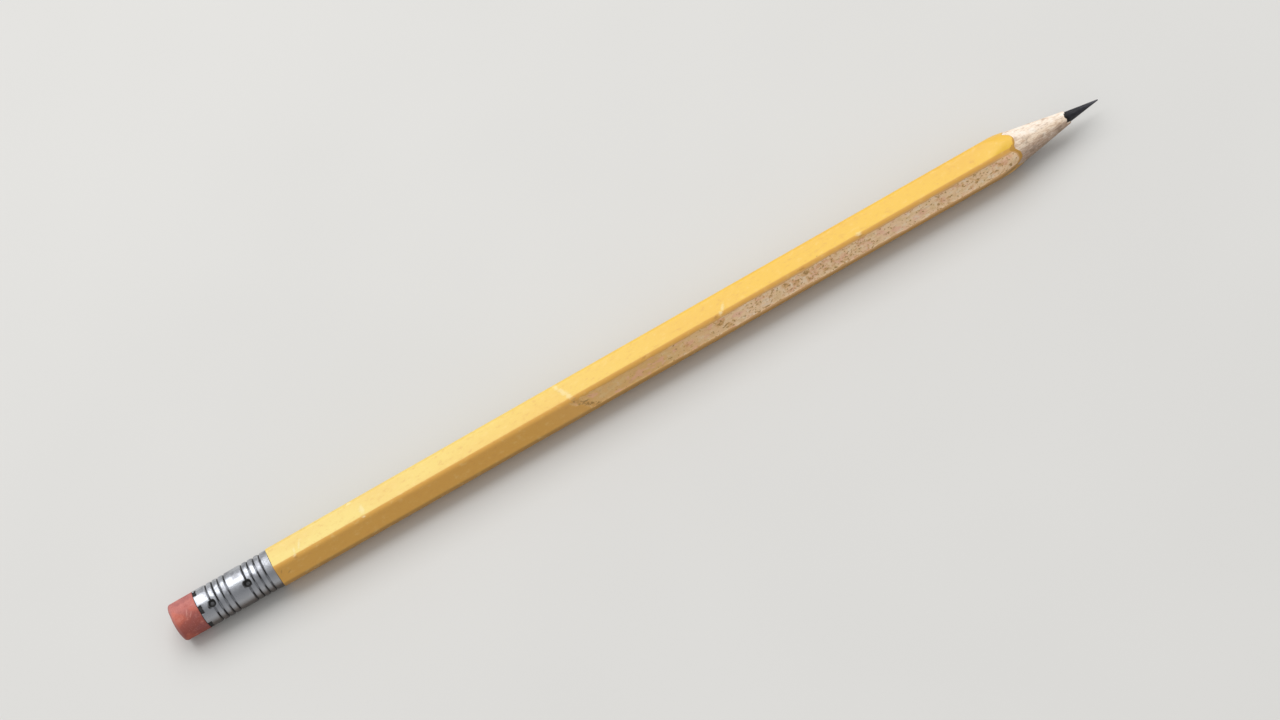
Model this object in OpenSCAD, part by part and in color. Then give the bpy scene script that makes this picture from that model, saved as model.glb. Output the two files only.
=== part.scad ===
// Hexagonal wood-cased pencil with a rolled ferrule and a plug eraser, lightly used.
// Millimetres, +Z up. The pencil lies on one of its flats along X, its point towards +X.
// Origin: bottom centre of the whole pencil, on the surface that it lies on.

/* [Casing] */
// Overall length, from the eraser's end to the graphite point
pencil_l = 178.6; // [60:0.1:190]
// Width across the flats of the hexagonal casing
across_flats = 7.1; // [5.8:0.1:9]
// Rounding radius of the six long edges
edge_r = 1.1; // [0.3:0.1:1.5]

/* [Point] */
// Diameter of the graphite core
core_d = 2.0; // [1.6:0.1:3]
// Length of sharpened core that stands out of the wood
core_exposed_l = 6.0; // [2:0.1:10]
// Diameter of the core's blunted tip
tip_d = 0.2; // [0.1:0.05:1]
// Half angle of the sharpened wood cone, in degrees
wood_half_angle = 10.3; // [9:0.1:16]
// Thickness of the wood where it ends around the core
wood_lip_t = 0.25; // [0.1:0.05:0.5]

/* [Ferrule] */
// Length of the ferrule
ferrule_l = 14.4; // [12:0.1:18]
// Wall thickness of the ferrule's tube
ferrule_wall = 0.25; // [0.15:0.01:0.35]
// How far the casing's flats stand proud of the ferrule, on each side
ferrule_step = 0.1; // [0.02:0.01:0.3]
// Number of rolled grooves in each of the two groups
groove_count = 4; // [1:1:4]
// Distance between neighbouring grooves
groove_pitch = 1.15; // [0.9:0.01:1.2]
// Radius of each rolled groove, which is also its depth
groove_r = 0.2; // [0.1:0.01:0.25]
// From the eraser-side rim to the first groove of the rear group
rear_margin = 2.5; // [1:0.1:2.6]
// From the casing-side rim to the last groove of the front group
front_margin = 1.6; // [1:0.1:2]

/* [Crimps] */
// Radius of each punched dimple at the ferrule's surface
dimple_mouth_r = 0.75; // [0.5:0.05:0.9]
// Radius of each dimple's flat bottom
dimple_floor_r = 0.4; // [0.2:0.05:0.5]
// Depth of each dimple
dimple_depth = 0.4; // [0.2:0.05:0.5]
// Number of swaged notches round the eraser-side rim
notch_count = 6; // [3:1:6]
// Width of each notch, round the rim
notch_w = 1.5; // [0.8:0.1:2]
// Length of each notch, along the ferrule
notch_l = 0.65; // [0.3:0.05:1]
// Depth of each notch into the wall
notch_depth = 0.12; // [0.05:0.01:0.14]

/* [Eraser] */
// Length of eraser that stands out of the ferrule
eraser_exposed_l = 5.0; // [1:0.1:8]
// Length of eraser plugged into the ferrule
plug_l = 7.4; // [6:0.1:8]
// How far the exposed eraser is slimmer than the ferrule, on each side
eraser_step = 0.02; // [0.02:0.01:0.2]
// Rounding radius of the eraser's worn end
eraser_end_r = 0.55; // [0.2:0.05:1.5]

/* [Fits] */
// Glue line between the core and its groove, and between the ferrule and what it grips
glue_gap = 0.02; // [0.01:0.01:0.05]
// Gap inside the ferrule, between the eraser's plug and the casing's tenon
plug_gap = 0.1; // [0.05:0.05:0.5]

/* [Hidden] */
$fn = 96;
// How far joined solids overlap and cutting ones overrun
overrun = 0.5;
axis_h = across_flats / 2;
core_r = core_d / 2;
// Distance from the axis to the centres of the edge rounding, and to the rounded edges
edge_centre_r = (axis_h - edge_r) / cos(30);
corner_r = edge_centre_r + edge_r;
// Steps in each rounded edge; odd, so that the parting plane cuts through a step
edge_steps = 5;
// Stations along the pencil, measured from the eraser's end
rim_z = eraser_exposed_l;
plug_end_z = rim_z + plug_l;
tenon_z = plug_end_z + plug_gap;
shoulder_z = rim_z + ferrule_l;
wood_end_z = pencil_l - core_exposed_l;
// Ferrule radii, and the radius of what it grips
ferrule_r = axis_h - ferrule_step;
bore_r = ferrule_r - ferrule_wall;
grip_r = bore_r - glue_gap;
eraser_r = ferrule_r - eraser_step;
// Sharpened wood: its radius at the core, and where the cone clears the casing's corners
wood_lip_r = core_r + glue_gap + wood_lip_t;
cone_l = (corner_r + overrun - wood_lip_r) / tan(wood_half_angle);
// Every groove's station: one group counted from each rim
groove_zs = [
    for (i = [0 : groove_count - 1]) rim_z + rear_margin + i * groove_pitch,
    for (i = [0 : groove_count - 1]) shoulder_z - front_margin - i * groove_pitch
];
// The dimples sit on the first groove of each group, as seen from the eraser
dimple_zs = [
    rim_z + rear_margin,
    shoulder_z - front_margin - (groove_count - 1) * groove_pitch
];
// They are punched in line with the upper long edge on the -Y side, and opposite it:
// angles from +Y towards +Z, once the pencil is laid down
dimple_angles = [120, 300];

// Lays a solid drawn along +Z from the eraser's end down along +X, on the surface.
// What was drawn towards +Y keeps its side, and towards -X comes out on top.
module lay_down() {
    translate([-pencil_l / 2, 0, axis_h])
        rotate([0, 90, 0])
            children();
}

// Hexagon with rounded corners: each corner is an arc of short steps, from flat to flat
module rounded_hexagon() {
    polygon([
        for (corner = [30 : 60 : 330], turn = [-30 : 60 / edge_steps : 30])
            edge_centre_r * [cos(corner), sin(corner)]
                + edge_r * [cos(corner + turn), sin(corner + turn)]
    ]);
}

// Ribs that the rolled grooves press into whatever the ferrule grips
module groove_seats(extra) {
    for (z = groove_zs)
        rotate_extrude()
            translate([ferrule_r, z])
                circle(groove_r + ferrule_wall + extra);
}

// One punch at each dimple: a cone with a flat end, grown all round by a wall or a gap
module dimple_punches(grow) {
    for (z = dimple_zs, a = dimple_angles)
        translate([0, 0, z])
            rotate([0, 0, a + 90])
                rotate([0, 90, 0])
                    translate([0, 0, ferrule_r - dimple_depth - grow])
                        cylinder(
                            h = dimple_depth + grow,
                            r1 = dimple_floor_r + grow,
                            r2 = dimple_mouth_r + grow
                        );
}

// Envelope of the casing after sharpening, cut square where the wood ends at the core
module sharpened_envelope() {
    rotate_extrude()
        polygon([
            [0, tenon_z],
            [corner_r + overrun, tenon_z],
            [corner_r + overrun, wood_end_z - cone_l],
            [wood_lip_r, wood_end_z],
            [0, wood_end_z]
        ]);
}

// Both glued slats as one: hexagonal shaft, sharpened cone and the tenon for the ferrule
module casing() {
    difference() {
        intersection() {
            union() {
                translate([0, 0, shoulder_z])
                    linear_extrude(wood_end_z - shoulder_z + overrun)
                        rounded_hexagon();
                difference() {
                    translate([0, 0, tenon_z])
                        cylinder(h = shoulder_z - tenon_z + overrun, r = grip_r);
                    groove_seats(glue_gap);
                    dimple_punches(ferrule_wall + glue_gap);
                }
            }
            sharpened_envelope();
        }
        translate([0, 0, tenon_z - overrun])
            cylinder(h = wood_end_z - tenon_z + 2 * overrun, r = core_r + glue_gap);
    }
}

// Keeps one side of the glued parting plane: side 1 is the upper slat, -1 the lower
module slat(side) {
    intersection() {
        casing();
        translate([side > 0 ? -2 * across_flats : 0, -across_flats, 0])
            cube([2 * across_flats, 2 * across_flats, pencil_l]);
    }
}

module casing_upper_half() {
    color("#E9B94C")
        lay_down()
            slat(1);
}

module casing_lower_half() {
    color("#D9A94A")
        lay_down()
            slat(-1);
}

// Core from the tenon's end to the sharpened tip
module graphite_core() {
    color("#2E2D35")
        lay_down()
            rotate_extrude()
                polygon([
                    [0, tenon_z],
                    [core_r, tenon_z],
                    [core_r, wood_end_z],
                    [tip_d / 2, pencil_l],
                    [0, pencil_l]
                ]);
}

// Thin tube with rolled grooves, punched dimples and notches swaged into its open rim
module ferrule() {
    color("#B9BCC2")
        lay_down()
            difference() {
                union() {
                    rotate_extrude()
                        translate([bore_r, rim_z])
                            square([ferrule_wall, ferrule_l]);
                    intersection() {
                        union() {
                            groove_seats(0);
                            dimple_punches(ferrule_wall);
                        }
                        translate([0, 0, rim_z])
                            cylinder(h = ferrule_l, r = ferrule_r - ferrule_wall / 2);
                    }
                }
                for (z = groove_zs)
                    rotate_extrude()
                        translate([ferrule_r, z])
                            circle(groove_r);
                dimple_punches(0);
                for (i = [0 : notch_count - 1])
                    rotate(30 + i * 360 / notch_count)
                        translate([ferrule_r - notch_depth, -notch_w / 2, rim_z - overrun])
                            cube([1, notch_w, notch_l + overrun]);
            }
}

// Rubber plug, a little fuller where it stands out of the ferrule, with a rounded end
module eraser() {
    color("#D8776B")
        lay_down()
            difference() {
                rotate_extrude() {
                    translate([0, eraser_end_r])
                        square([eraser_r, rim_z - eraser_end_r]);
                    square([eraser_r - eraser_end_r, rim_z]);
                    translate([eraser_r - eraser_end_r, eraser_end_r])
                        circle(eraser_end_r);
                    square([grip_r, plug_end_z]);
                }
                groove_seats(glue_gap);
                dimple_punches(ferrule_wall + glue_gap);
            }
}

casing_upper_half();
casing_lower_half();
graphite_core();
ferrule();
eraser();
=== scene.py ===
"""Used hexagonal pencil: its looks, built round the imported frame. Lengths here are millimetres.

Stations are measured along the pencil from the eraser's end, and angles about its axis from +Y
towards +Z, so the top flat faces 90 degrees and the worn flat 150 degrees.
"""

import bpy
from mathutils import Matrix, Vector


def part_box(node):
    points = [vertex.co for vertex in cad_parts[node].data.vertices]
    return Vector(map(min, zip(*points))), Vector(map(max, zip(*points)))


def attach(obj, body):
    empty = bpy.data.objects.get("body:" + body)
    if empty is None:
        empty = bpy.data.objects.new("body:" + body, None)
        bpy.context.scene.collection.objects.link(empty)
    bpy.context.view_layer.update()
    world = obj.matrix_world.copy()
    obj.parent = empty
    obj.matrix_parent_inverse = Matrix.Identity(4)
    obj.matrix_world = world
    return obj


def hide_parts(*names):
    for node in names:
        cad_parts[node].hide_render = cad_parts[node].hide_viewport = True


bl_info = {
    "name": "Used hexagonal pencil",
    "version": (1, 0, 0),
    "blender": (4, 5, 0),
    "location": "View3D > Sidebar > Pencil",
    "description": "Builds a lightly used wood-cased pencil round its packed frame",
    "category": "Add Mesh",
}

import bpy
import numpy as np
from bpy.props import FloatProperty, FloatVectorProperty, IntProperty, PointerProperty
from bpy.types import NodeSocket, Operator, Panel, PropertyGroup
from mathutils import Matrix, Vector

MM = 0.001
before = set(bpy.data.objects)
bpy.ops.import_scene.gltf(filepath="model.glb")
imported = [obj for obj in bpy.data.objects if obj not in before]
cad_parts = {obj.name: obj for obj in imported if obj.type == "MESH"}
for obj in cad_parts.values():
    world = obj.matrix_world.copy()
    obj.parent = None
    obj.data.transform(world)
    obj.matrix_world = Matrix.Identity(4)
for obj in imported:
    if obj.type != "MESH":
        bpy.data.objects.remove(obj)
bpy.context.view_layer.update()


def node_box(name):
    """Lowest and highest corner of a CAD node, in millimetres, as two arrays."""
    low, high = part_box(name)
    return np.array(low) / MM, np.array(high) / MM


# The pencil lies on a flat, so its axis is as high as its flats are far from it. The ferrule
# reaches from its own rim to the casing's shoulder.
REAR = node_box("eraser")[0][0]
AXIS_HEIGHT = APOTHEM = node_box("casing_upper_half")[0][2]
CORNER_R = node_box("casing_upper_half")[1][1]
RIM, SHOULDER = (corner[0] - REAR for corner in node_box("ferrule"))
FERRULE_R = node_box("ferrule")[1][2] - AXIS_HEIGHT
ERASER_R = node_box("eraser")[1][2] - AXIS_HEIGHT
PLUG_END = node_box("eraser")[1][0] - REAR
TENON_END, WOOD_END = (corner[0] - REAR for corner in node_box("casing_upper_half"))
CORE_R = node_box("graphite_core")[1][2] - AXIS_HEIGHT
TIP = node_box("graphite_core")[1][0] - REAR


def linear(code):
    """An sRGB hex colour as linear red, green and blue."""
    parts = np.array([int(code[i : i + 2], 16) for i in (1, 3, 5)]) / 255
    return tuple(np.where(parts <= 0.04045, parts / 12.92, ((parts + 0.055) / 1.055) ** 2.4))


def rgba(colour):
    """A hex colour, or three linear parts, as the four numbers that a colour socket takes."""
    return (*(linear(colour) if isinstance(colour, str) else colour), 1.0)


# ---------------- settings


def size(name, default, text):
    """A length in millimetres that a user can change."""
    return FloatProperty(name=name, default=default, min=0.0, description=text + ", in mm")


def angle_of(name, degrees, text):
    """An angle that a user can change, given in degrees and kept in radians."""
    return FloatProperty(name=name, default=np.radians(degrees), subtype="ANGLE", description=text)


def colour(name, code, text):
    """A colour that a user can change, given as hex and kept linear."""
    return FloatVectorProperty(
        name=name, default=linear(code), size=3, subtype="COLOR", min=0, max=1, description=text
    )


class PencilCasingSettings(PropertyGroup):
    edge_r: size("Edge rounding", 1.1, "Radius of the six long edges")
    half_angle: angle_of("Wood half angle", 10.3, "Half angle of the sharpened wood")
    lip_r: size("Lip radius", 1.25, "Radius of the wood where it ends at the core")
    crease: size("Soft crease", 0.16, "How far the flats blend into the cut cone")
    ragged: size("Ragged lip", 0.2, "Depth of the nicks where the wood ends at the core")
    lacquer_t: size("Lacquer thickness", 0.05, "Thickness of the lacquer over the wood")
    worn_from: size("Worn from", 75.9, "Station where the worn flat begins")
    worn_border: size("Worn border", 0.67, "Width of lacquer left along the worn flat's edges")
    lacquer_rear: colour("Lacquer near the ferrule", "#F0D77C", "Colour near the ferrule")
    lacquer_front: colour("Lacquer near the point", "#F0C143", "Colour near the point")
    # Painted shade: the lacquer's colour on its flanks away from the top
    lacquer_in_shade: colour("Handled lacquer", "#E0A84C", "Colour darkened by handling")
    lacquer_rim: colour("Lacquer rim", "#C9953F", "Crushed lacquer where the point was cut")
    worn_wood: colour("Worn wood", "#FFDAAE", "Bare wood on the worn flat")
    cut_wood: colour("Cut wood", "#FAE9D6", "Freshly sharpened wood")


class PencilCoreSettings(PropertyGroup):
    graphite: colour("Graphite", "#1F1F24", "Colour of the sharpened core")
    tip_r: size("Tip radius", 0.1, "Radius of the blunted tip")


class PencilFerruleSettings(PropertyGroup):
    wall: size("Wall", 0.25, "Thickness of the tube")
    groove_r: size("Groove radius", 0.2, "Radius of each rolled groove")
    groove_pitch: size("Groove pitch", 1.15, "Distance between grooves")
    groove_count: IntProperty(name="Grooves", default=4, description="Grooves in each group")
    rear_margin: size("Rear margin", 2.5, "From the eraser-side rim to the first groove")
    front_margin: size("Front margin", 1.6, "From the casing-side rim to the last groove")
    dimple_mouth: size("Dimple mouth", 0.75, "Radius of a punched dimple at the surface")
    dimple_floor: size("Dimple floor", 0.4, "Radius of a dimple's flat bottom")
    dimple_depth: size("Dimple depth", 0.4, "Depth of a dimple")
    notch_w: size("Notch width", 1.5, "Width of a swaged notch round the rim")
    notch_l: size("Notch length", 0.65, "Length of a notch along the ferrule")
    notch_depth: size("Notch depth", 0.12, "Depth of a notch")
    metal: colour("Aluminium", "#BDC0C6", "Colour of the bare metal")
    # Dirt and painted shade in the grooves, dimples and notches
    grime: colour("Grime", "#141313", "Dirt held in the grooves and dimples")


class PencilEraserSettings(PropertyGroup):
    end_r: size("End rounding", 0.55, "Rounding of the worn end")
    rubber: colour("Rubber", "#C3766E", "Colour of the rubber")
    # Painted shade over the rubber's near side and underside, and the colour of its dirt clouds
    shade_and_dirt: colour("Smudge", "#A4554A", "Grey-brown dirt rubbed into the rubber")


class PencilStageSettings(PropertyGroup):
    floor: colour("Floor", "#D9D8D5", "Colour of the floor and the backdrop")
    key_power: FloatProperty(name="Key light", default=6.7, unit="POWER", description="Softbox power")
    fill: FloatProperty(name="Fill", default=0.6, description="Strength of the even surround")
    lens: FloatProperty(name="Lens", default=90.0, unit="CAMERA", description="Focal length")
    distance: size("Distance", 539.0, "From the camera to the pencil's middle")
    elevation: angle_of("Elevation", 60.5, "How high the camera stands over the floor")
    roll: angle_of("Roll", 29.64, "How steeply the pencil lies in the view")


# ---------------- shapes


def smooth(x, start, end):
    """0 before start and 1 after end, with a smoothstep between."""
    t = np.clip((x - start) / (end - start), 0, 1)
    return t * t * (3 - 2 * t)


def window(x, start, end, soft):
    """1 from start to end, fading to 0 over the length soft at both ends."""
    return smooth(x, start - soft, start + soft) * (1 - smooth(x, end - soft, end + soft))


# Large primes that scatter the noise's whole-number corners over its table of random values
SCATTER = (73856093, 19349663, 83492791)
TABLE_SIZE = 4096


def lattice_noise(x, y, z, seed):
    """Smooth noise from -1 to 1: random values on whole-number corners, blended by smoothsteps."""
    table = np.random.default_rng(seed).uniform(-1, 1, TABLE_SIZE)
    x, y, z = np.broadcast_arrays(x, y, z)
    cell = [np.floor(a).astype(np.int64) for a in (x, y, z)]
    inside = [smooth(a - c, 0, 1) for a, c in zip((x, y, z), cell)]
    total = np.zeros(x.shape)
    for corner in np.ndindex(2, 2, 2):
        i, j, k = ((c + step) * prime for c, step, prime in zip(cell, corner, SCATTER))
        picked = (i ^ j ^ k) % TABLE_SIZE
        weight = np.prod([t if step else 1 - t for t, step in zip(inside, corner)], axis=0)
        total += weight * table[picked]
    return total


def skin_noise(along, angle, turns, seed):
    """Lattice noise at a place along the pencil and on a circle of radius turns round its axis."""
    return lattice_noise(along, np.cos(angle) * turns, np.sin(angle) * turns, seed)


def around(station, angle, radius):
    """Points in the row frame, in metres, from stations, angles in radians and radii."""
    station, angle, radius = np.broadcast_arrays(station, angle, radius)
    return MM * np.stack(
        [REAR + station, radius * np.cos(angle), AXIS_HEIGHT + radius * np.sin(angle)], axis=-1
    )


def loop_faces(rows, columns, close_rows=False):
    """Quads of a grid whose columns run round a closed loop, and its rows too if asked."""
    row = np.arange(rows if close_rows else rows - 1)[:, None]
    column = np.arange(columns)[None, :]
    after, beside = (row + 1) % rows, (column + 1) % columns
    corners = [row * columns + column, row * columns + beside]
    corners += [after * columns + beside, after * columns + column]
    return np.stack(corners, axis=-1).reshape(-1, 4)


def rows_with_edges(rows, start, end):
    """Rows with one more next to each end, start and end in from it, to keep a step there sharp."""
    extra = rows[:1] + start, rows[-1:] - end
    return np.concatenate([rows[:1], extra[0], rows[1:-1], extra[1], rows[-1:]])


def new_object(name, data):
    """A new object in the scene."""
    made = bpy.data.objects.new(name, data)
    bpy.context.scene.collection.objects.link(made)
    return made


def make_piece(name, points, faces, materials, slots=0, sharp=35.0, **attributes):
    """A mesh object at the origin from points in metres and a list of face index arrays.

    The faces turn the same way as each other, and are all turned over if they enclose a negative
    volume: the sum over faces of the corner's cross product with its two neighbours.
    """
    flat = points.reshape(-1, 3)
    volume = 0.0
    for f in faces:
        for k in range(1, f.shape[1] - 1):
            a, b, c = flat[f[:, 0]], flat[f[:, k]], flat[f[:, k + 1]]
            volume += np.sum(a * np.cross(b, c))
    if volume < 0:
        faces = [f[:, ::-1] for f in faces]
    mesh = bpy.data.meshes.new(name)
    sizes = np.concatenate([np.full(len(f), f.shape[1]) for f in faces])
    corners = np.concatenate([f.ravel() for f in faces])
    mesh.vertices.add(points.size // 3)
    mesh.vertices.foreach_set("co", points.astype(np.float32).ravel())
    mesh.loops.add(len(corners))
    mesh.loops.foreach_set("vertex_index", corners.astype(np.int32))
    mesh.polygons.add(len(sizes))
    starts = np.concatenate([[0], np.cumsum(sizes)[:-1]])
    mesh.polygons.foreach_set("loop_start", starts.astype(np.int32))
    for key, values in attributes.items():
        layer = mesh.attributes.new(key, "FLOAT", "POINT")
        layer.data.foreach_set("value", values.astype(np.float32).ravel())
    for material in materials:
        mesh.materials.append(material)
    mesh.polygons.foreach_set("material_index", np.full(len(sizes), slots, np.int32))
    mesh.update(calc_edges=True)
    if mesh.validate():
        raise RuntimeError(f"{name}: the mesh had faults")
    mesh.polygons.foreach_set("use_smooth", np.ones(len(sizes), bool))
    mesh.set_sharp_from_angle(angle=np.radians(sharp))
    piece = new_object(name, mesh)
    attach(piece, "root")
    return piece


def hexagon_outline(edge_r, side, corner_steps=8, flat_steps=9, worn_steps=26):
    """Half the casing's outline, from angle 0 to 180 degrees for side 1 and from 180 to 360 for -1.

    Each corner is an arc of radius edge_r about a centre on the corner's own direction, turning
    30 degrees each way from it, and the flats are straight between the arcs.
    Returns the angles and the radii of its points.
    """
    first = 0 if side > 0 else 180
    centre_r = CORNER_R - edge_r
    points = []
    for corner in range(first, first + 181, 60):
        low = 0 if corner == first else -30
        high = 0 if corner == first + 180 else 30
        turns = np.radians(np.linspace(low, high, 1 + corner_steps * (high - low) // 60) + corner)
        arc = centre_r * np.exp(1j * np.radians(corner)) + edge_r * np.exp(1j * turns)
        if points:
            worn = side > 0 and corner == first + 180
            steps = np.linspace(0, 1, 1 + (worn_steps if worn else flat_steps))[1:-1]
            points.append(points[-1][-1] + steps * (arc[0] - points[-1][-1]))
        points.append(arc)
    outline = np.concatenate(points)
    angle = np.angle(outline)
    angle = np.where(angle < np.radians(first) - 1e-6, angle + 2 * np.pi, angle)
    return angle, np.abs(outline)


# ---------------- casing

# The worn flat's direction, and how far its start leans towards the point for each mm down it
WORN_ANGLE = 150.0
LEAN = 0.95
# Rows of points along the tenon, the lacquered shaft and the cut cone
TENON_ROWS, SHAFT_ROWS, CONE_ROWS = 50, 560, 60
# Gap round the core and the tenon, height of the pieces' gentle unevenness, and the shallow
# groove that the glued joint shows on the cut cone
GLUE_GAP = 0.02
UNEVEN = 0.012
GLUE_LINE = 0.025

# Specks of lacquer left on the bare wood of the worn flat, as soft patches: the station and the
# distance across the flat of its middle, its half length and half width, and its density.
SPECK_PATCHES = [
    (93.2, -0.6, 0.8, 0.4, 0.3),
    (97.6, -0.2, 1.4, 0.6, 0.55),
    (101.5, 0.3, 0.8, 0.7, 0.2),
    (104.6, -0.6, 1.3, 0.8, 0.9),
    (105.6, 0.6, 1.2, 0.9, 0.85),
    (106.9, 0.0, 0.5, 0.9, 0.5),
    (110.2, 0.7, 0.8, 0.7, 0.6),
    (111.0, -0.1, 0.7, 0.9, 0.4),
    (113.0, 0.9, 0.5, 0.5, 0.45),
    (114.6, -0.7, 0.7, 0.5, 0.5),
    (117.1, -0.6, 1.0, 0.7, 1.0),
    (119.2, 0.0, 1.0, 1.2, 0.75),
    (121.2, -0.9, 1.5, 0.6, 1.0),
    (123.9, -0.6, 1.7, 0.6, 0.6),
    (125.4, 0.8, 1.5, 0.5, 0.55),
    (126.3, -0.5, 1.3, 0.8, 0.7),
    (128.0, 0.8, 0.8, 0.6, 0.7),
    (130.4, -0.1, 0.9, 0.25, 0.75),
    (131.8, -0.6, 0.7, 0.5, 0.6),
    (133.0, -0.4, 1.2, 0.4, 0.55),
    (132.2, 0.5, 0.4, 0.4, 0.5),
    (137.3, -0.3, 0.25, 0.25, 0.8),
    (141.4, -1.1, 0.35, 0.3, 0.8),
    (146.8, 0.5, 0.6, 0.6, 0.6),
    (148.5, 0.1, 1.4, 0.22, 0.9),
    (151.4, -0.6, 0.5, 0.8, 0.85),
    (152.8, -1.0, 0.4, 0.4, 0.8),
    (153.8, 0.1, 0.7, 0.6, 1.0),
    (152.4, 1.2, 0.5, 0.3, 0.7),
    (158.6, -0.3, 0.9, 0.9, 0.6),
    (157.6, 0.9, 0.8, 0.25, 0.6),
]


def paint_ends(settings, angle, outline_r):
    """Stations where the bright lacquer ends and where its crushed rim ends, for each angle.

    Both reach furthest at the middle of a flat and fall back towards the long edges in proportion
    to the outline's rise from flat to edge, least at the near upper edge. The paint stops shorter
    on the far side, and its crushed rim is widest on the near side.
    """
    degrees = np.degrees(angle)
    rise = np.clip((outline_r - APOTHEM) / (CORNER_R - APOTHEM), 0, 1)
    crease = WOOD_END - (APOTHEM - settings.lip_r) / np.tan(settings.half_angle)
    wave = lattice_noise(np.cos(angle) * 5, np.sin(angle) * 5, 0, 11)
    chips = lattice_noise(np.cos(angle) * 17, np.sin(angle) * 17, 0, 12)
    near = smooth(-degrees, -350, -300)
    past_crease = 1.87 + 0.8 * smooth(degrees, 35, 65) * near
    valley = 1.05 - 0.5 * window(degrees, 105, 135, 15) + 0.35 * window(degrees, 165, 300, 15)
    rim = crease + past_crease + 0.08 * wave + 0.04 * chips - valley * rise**1.5
    crushed = 0.08 + (0.3 * smooth(degrees, 80, 105) + 0.15 * smooth(degrees, 120, 135)) * near
    crushed += 0.65 * window(degrees, 113, 127, 6)
    return rim - crushed, rim


def casing_radius(settings, station, outline_r):
    """The lesser of the hexagon and the cut cone, blended over the soft crease between them."""
    cone = settings.lip_r + (WOOD_END - station) * np.tan(settings.half_angle)
    of_cone = np.clip(0.5 + 0.5 * (outline_r - cone) / settings.crease, 0, 1)
    mixed = outline_r + of_cone * (cone - outline_r)
    return mixed - settings.crease * of_cone * (1 - of_cone)


def across_worn(angle):
    """Distance across the worn flat from its middle, in mm, towards its lower edge."""
    return APOTHEM * np.tan(np.clip(angle - np.radians(WORN_ANGLE), -0.6, 0.6))


def speck_cover(settings, station, angle):
    """How thickly lacquer specks cover the worn wood, from 0 to 1: a thin sprinkle all along it,
    then patches and a leaning band at its start, which all fall off as bells."""
    across = across_worn(angle)
    sprinkle = 0.2 * smooth(station, 90, 94) + 0.22 * window(station, 109, 134.5, 1.5)
    sprinkle += 0.2 * smooth(station, 142, 147)
    past_band = station - settings.worn_from - 2.7 - LEAN * across
    cover = np.maximum(sprinkle, 0.85 * np.exp(-((past_band / 1.1) ** 2)))
    for middle, beside, half_length, half_width, density in SPECK_PATCHES:
        far = ((station - middle) / half_length) ** 2 + ((across - beside) / half_width) ** 2
        cover = np.maximum(cover, density * np.exp(-far))
    return cover


def bare_distance(settings, station, angle, bright_end):
    """How far inside the worn patch a point lies, in mm, and less than 0 outside it.

    It is the least distance to the sides, the leaning start and the lacquer's end, with a wobble
    that is strongest at the start.
    """
    across = across_worn(angle)
    half = APOTHEM * np.tan(np.pi / 6) - settings.worn_border
    at_start = window(station, settings.worn_from, settings.worn_from + 4, 1)
    wobble = 0.12 * lattice_noise(station / 1.7, across, 0, 21)
    wobble += 0.3 * lattice_noise(station / 0.5, across / 0.5, 0, 22) * at_start
    sides = half - np.abs(across + 0.05) + wobble
    start = 0.3 * (station - settings.worn_from - 1.6 - LEAN * across) + wobble
    return np.minimum(np.minimum(sides, start), bright_end - 0.25 - station)


def lip_nicks(settings, degrees):
    """How far the wood's lip is torn back from its end, round the core, in mm.

    Two sizes of noise, a wide bite on top, and a splinter low on the near side that stands further
    out than the rest.
    """
    angle = np.radians(degrees)
    fine = lattice_noise(np.cos(angle) * 4, np.sin(angle) * 4, 0, 31)
    fine += 0.7 * lattice_noise(np.cos(angle) * 11, np.sin(angle) * 11, 0, 32)
    bite = 0.38 * window(degrees, 79, 150, 5) + 0.55 * window(degrees, 150, 174, 4)
    splinter = 0.22 * window(degrees, 178, 215, 3)
    return 0.08 + settings.ragged * 0.5 * fine + bite - splinter


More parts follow.
